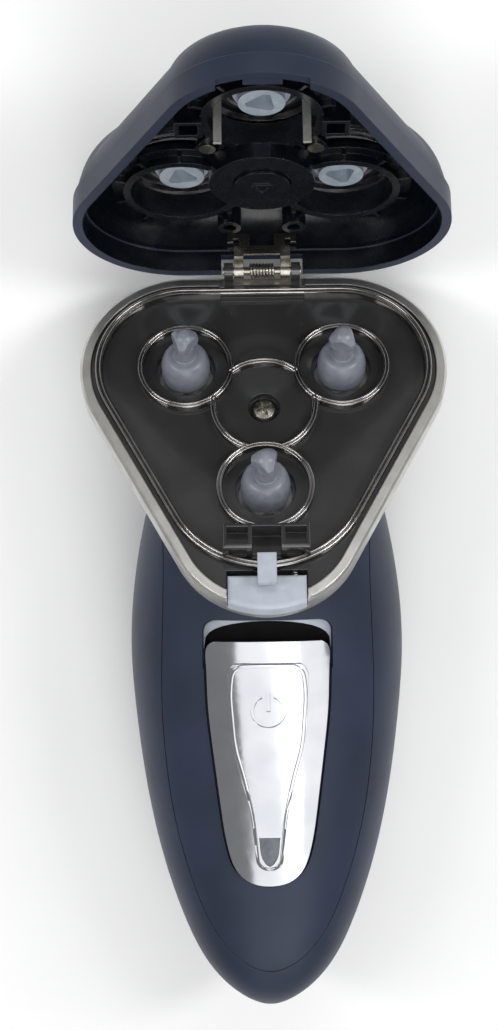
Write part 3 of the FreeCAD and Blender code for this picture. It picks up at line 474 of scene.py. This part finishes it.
def makePlateLine(finish):
    shape = triangleRail(plateLine["inset"], plateLine["reach"], plateLine["width"], plateLine["foot"],
                         plateLine["top"])
    return finishPiece("chamberPlateLine", shape, "handle", finish)


ringLine = {"spindleRadius": 8.4, "centreRadius": 9.4, "width": 1.1, "foot": -1.0, "top": 0.56, "steps": 64}


def makeRingLines(finish):
    # a whole ring round each spindle, and three arcs between them round the screw
    r, pitch = ringLine["centreRadius"], head["pitch"]
    meet = (pitch ** 2 + r ** 2 - ringLine["spindleRadius"] ** 2) / (2 * pitch * r)
    gap = math.degrees(math.acos(meet))
    for number, angle in enumerate(head["spindleAngles"]):
        a = math.radians(angle)
        centre = (pitch * math.cos(a), pitch * math.sin(a))
        section = twinBead(ringLine["width"], ringLine["foot"], ringLine["top"],
                           (centre[0] + ringLine["spindleRadius"], centre[1], 1, 0))
        shape, end = startRail(section)
        turnRail(shape, end, centre, 360, ringLine["steps"])
        finishPiece(f"spindleRingLine{number}", shape, "handle", finish)
        start = a + math.radians(gap)
        across = (r * math.cos(start), r * math.sin(start), math.cos(start), math.sin(start))
        section = twinBead(ringLine["width"], ringLine["foot"], ringLine["top"], across)
        shape, end = startRail(section)
        turnRail(shape, end, (0, 0), 120 - 2 * gap, ringLine["steps"] // 3)
        finishPiece(f"centreRingLine{number}", shape, "handle", finish)


latchFrame = {"inner": 3.05, "outer": 7.35, "low": -30.5, "high": -26.6, "width": 0.62, "foot": 3.2, "top": 4.2}


def makeLatchFrames(finish):
    # a bead round each of the two pockets of the latch, bright from the painted-highlight nickel
    for side in (-1, 1):
        low, high = sorted((side * latchFrame["inner"], side * latchFrame["outer"]))
        shape = bmesh.new()
        corners = [(low, latchFrame["low"]), (high, latchFrame["low"]), (high, latchFrame["high"]),
                   (low, latchFrame["high"])]
        shape.faces.new([shape.verts.new((x, v, latchFrame["foot"])) for x, v in corners])
        middle = list(shape.faces)
        bmesh.ops.inset_region(shape, faces=middle, thickness=latchFrame["width"], use_boundary=True,
                               use_even_offset=True)
        bmesh.ops.delete(shape, geom=middle, context="FACES")
        raised = bmesh.ops.extrude_face_region(shape, geom=list(shape.faces))["geom"]
        top = {g for g in raised if isinstance(g, bmesh.types.BMVert)}
        bmesh.ops.translate(shape, verts=list(top), vec=(0, 0, latchFrame["top"] - latchFrame["foot"]))
        rims = [e for e in shape.edges if e.verts[0] in top and e.verts[1] in top
                and len(e.link_faces) == 2 and e.calc_face_angle(0) > 1]
        bmesh.ops.bevel(shape, geom=rims, offset=0.2, segments=3, affect="EDGES", profile=0.5, material=-1)
        finishPiece("latchFrame" + ("Left" if side < 0 else "Right"), shape, "handle", finish)


# the raised lines and latch frames take a lighter copy of the plate's finish: painted highlight
lineHighlightFinish = paintedLineHighlightNickel()
makePlateLine(lineHighlightFinish)
makeRingLines(lineHighlightFinish)
makeLatchFrames(lineHighlightFinish)
print("plate lines made")

# ---- the slide switch's raised field ----

fieldLine = {
    # along the handle and half across, mm: a bottle shape with its neck towards the tip
    "edge": ((9.3, 6.6), (4.0, 7.35), (-6.5, 6.6), (-13.5, 4.7), (-21.0, 3.3), (-31.4, 2.4)),
    "round": 2.2,
    "line": 0.7,
    "proud": 0.22,
    "fillet": 0.1,
}


def dropOnto(shape, node, lift):
    # lays the flat shape onto a node's upper face, keeping each point's own height above the lowest
    found = nodes[node]
    base = min(v.co.z for v in shape.verts)
    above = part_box(node)[1].z + 1 * mm
    for v in shape.verts:
        start = Vector((v.co.x * mm, v.co.y * mm, above))
        hit, point, normal, index = found.ray_cast(start, Vector((0, 0, -1)))
        if hit:
            v.co.z = point.z / mm + (v.co.z - base) + lift


slotShade = {"half": 11.7, "corner": 2.3, "behind": 2.0, "reach": 3.45, "thick": 0.12, "bow": 1.5}


def layPlate(name, points, rounds, lift, finish):
    # a thin plate cut to an outline and laid on the floor of the switch's recess
    shape = bmesh.new()
    shape.faces.new([shape.verts.new((x, y, 0)) for x, y in points])
    if rounds:
        shape.verts.ensure_lookup_table()
        bmesh.ops.bevel(shape, geom=shape.verts[2:4], offset=rounds, segments=8, affect="VERTICES",
                        profile=0.5, material=-1)
    bmesh.ops.bisect_plane(shape, geom=list(shape.verts) + list(shape.edges) + list(shape.faces),
                           plane_co=(0, 0, 0), plane_no=(1, 0, 0))
    for cut in range(1, 12):
        for side in (-1, 1):
            bmesh.ops.bisect_plane(shape, geom=list(shape.verts) + list(shape.edges) + list(shape.faces),
                                   plane_co=(side * cut, 0, 0), plane_no=(1, 0, 0))
    raised = bmesh.ops.extrude_face_region(shape, geom=list(shape.faces))["geom"]
    top = [g for g in raised if isinstance(g, bmesh.types.BMVert)]
    bmesh.ops.translate(shape, verts=top, vec=(0, 0, slotShade["thick"]))
    dropOnto(shape, "front_panel", lift)
    return finishPiece(name, shape, "handle", finish, Matrix.Scale(mm, 4))


def makeSlotPlates(paleFinish, paintedShadeFinish):
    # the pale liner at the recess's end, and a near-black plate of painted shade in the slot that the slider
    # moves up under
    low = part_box("slide_switch")[1].y / mm - slotShade["behind"]
    high = low + slotShade["behind"] + slotShade["reach"]
    half = slotShade["half"]
    corners = [(-half, low), (half, low), (half, high), (-half, high)]
    layPlate("switchRecessLiner", corners, slotShade["corner"], 0.02, paleFinish)
    bow = []
    for step in range(17):
        turn = math.pi * step / 16
        rise = math.sin(turn) ** 0.6 * (high - low - 0.1)
        bow.append((half * math.cos(turn) * 0.99, low + rise))
    # the slot's shade is painted: a near-black plate on the recess floor
    layPlate("switchSlotShade", bow, 0.0, 0.12, paintedShadeFinish)


# the second finish is painted shade for the switch's slot
makeSlotPlates(paleButton(), paintedSlotShade())


def makeFieldLine(finish):
    shape = bmesh.new()
    right = [(x, y) for y, x in fieldLine["edge"]]
    left = [(-x, y) for x, y in reversed(right)]
    shape.faces.new([shape.verts.new((x, y, 0)) for x, y in right + left])
    bmesh.ops.bevel(shape, geom=list(shape.verts), offset=fieldLine["round"], segments=6,
                    affect="VERTICES", profile=0.5, material=-1)
    middle = list(shape.faces)
    bmesh.ops.inset_region(shape, faces=middle, thickness=fieldLine["line"], use_boundary=True,
                           use_even_offset=True)
    bmesh.ops.delete(shape, geom=middle, context="FACES")
    raised = bmesh.ops.extrude_face_region(shape, geom=list(shape.faces))["geom"]
    top = {g for g in raised if isinstance(g, bmesh.types.BMVert)}
    bmesh.ops.translate(shape, verts=list(top), vec=(0, 0, fieldLine["proud"] * 2))
    rims = [e for e in shape.edges if e.verts[0] in top and e.verts[1] in top
            and len(e.link_faces) == 2 and e.calc_face_angle(0) > 1]
    bmesh.ops.bevel(shape, geom=rims, offset=fieldLine["fillet"], segments=3, affect="EDGES",
                    profile=0.5, material=-1)
    dropOnto(shape, "slide_switch", -fieldLine["proud"])
    return finishPiece("switchFieldLine", shape, "slide_switch", finish,
                       Matrix.Scale(mm, 4), 60.0)


makeFieldLine(brightChrome())
print("switch field made")

# ---- studio: a pale floor, soft lights and the camera ----

studio = {
    "floorSize": 3.0,
    "floorColour": "#f4f4f4",
    "worldColour": "#ffffff",
    "worldStrength": 0.34,
    # place, size, power of each soft light; all look at the shaver's head
    "lights": (
        ((0.1, -0.25, 1.0), (0.55, 1.0), 2.5),
        ((0.07, -0.25, 0.98), (0.13, 0.9), 0.6),
        ((0.15, -0.9, 0.8), (0.6, 0.5), 2.6),
        ((0.1, 0.9, 0.85), (0.5, 0.4), 2.0),
        ((-0.45, 0.15, 0.55), (0.12, 0.35), 1.3),
        ((0.45, 0.2, 0.5), (0.12, 0.3), 1.5),
    ),
    "aim": (0.0, 0.02, 0.02),
}


def softLight(place, size, power):
    data = bpy.data.lights.new("softLight", "AREA")
    data.shape = "RECTANGLE"
    data.size, data.size_y = size
    data.energy = power
    light = bpy.data.objects.new("softLight", data)
    light.location = place
    light.rotation_euler = (Vector(studio["aim"]) - Vector(place)).to_track_quat("-Z", "Y").to_euler()
    bpy.context.scene.collection.objects.link(light)


def makeFloor():
    shape = bmesh.new()
    bmesh.ops.create_grid(shape, x_segments=1, y_segments=1, size=studio["floorSize"] / 2)
    bmesh.ops.translate(shape, verts=shape.verts, vec=(0, 0, cadBox[0][2] - 0.2 * mm))
    mesh = bpy.data.meshes.new("studioFloor")
    shape.to_mesh(mesh)
    shape.free()
    floor = bpy.data.objects.new("studioFloor", mesh)
    bpy.context.scene.collection.objects.link(floor)
    material, tree, shader, place = startFinish("mattePaper", studio["floorColour"], 0.0, 0.9)
    mottle(tree, shader, place, ("#f2f2f2", "#f6f6f6"), 60.0)
    mesh.materials.append(material)


def makeWorld():
    world = bpy.data.worlds.new("studioWorld")
    world.use_nodes = True
    background = world.node_tree.nodes["Background"]
    background.inputs["Color"].default_value = hexColour(studio["worldColour"])
    background.inputs["Strength"].default_value = studio["worldStrength"]
    bpy.context.scene.world = world


makeWorld()
makeFloor()
for place, size, power in studio["lights"]:
    softLight(place, size, power)

view = {
    "lens": 72.0,
    "sensor": 36.0,
    "distance": 0.380,       # from the middle of the chamber plate
    "lean": 10.5,            # degrees from straight above towards the head
    "roll": -0.75,           # degrees
    "plateMiddle": (0.0, 0.055, 0.029),
    "offset": (0.0028, 0.0203),   # of the plate's middle in the picture, right and up
}


def makeCamera():
    lean = math.radians(view["lean"])
    back = Vector((0, math.sin(lean), math.cos(lean)))
    up = (Vector((0, 1, 0)) - back * back.y).normalized()
    right = up.cross(back)
    roll = math.radians(view["roll"])
    right, up = (math.cos(roll) * right + math.sin(roll) * up,
                 math.cos(roll) * up - math.sin(roll) * right)
    place = (Vector(view["plateMiddle"]) - right * view["offset"][0] - up * view["offset"][1]
             + back * view["distance"])
    data = bpy.data.cameras.new("studioCamera")
    data.lens = view["lens"]
    data.sensor_width = view["sensor"]
    data.clip_start = 0.01
    camera = bpy.data.objects.new("studioCamera", data)
    camera.matrix_world = Matrix((
        (right.x, up.x, back.x, place.x),
        (right.y, up.y, back.y, place.y),
        (right.z, up.z, back.z, place.z),
        (0, 0, 0, 1)))
    bpy.context.scene.collection.objects.link(camera)
    bpy.context.scene.camera = camera


makeCamera()
bpy.context.scene.view_settings.view_transform = "Standard"
print("studio set")
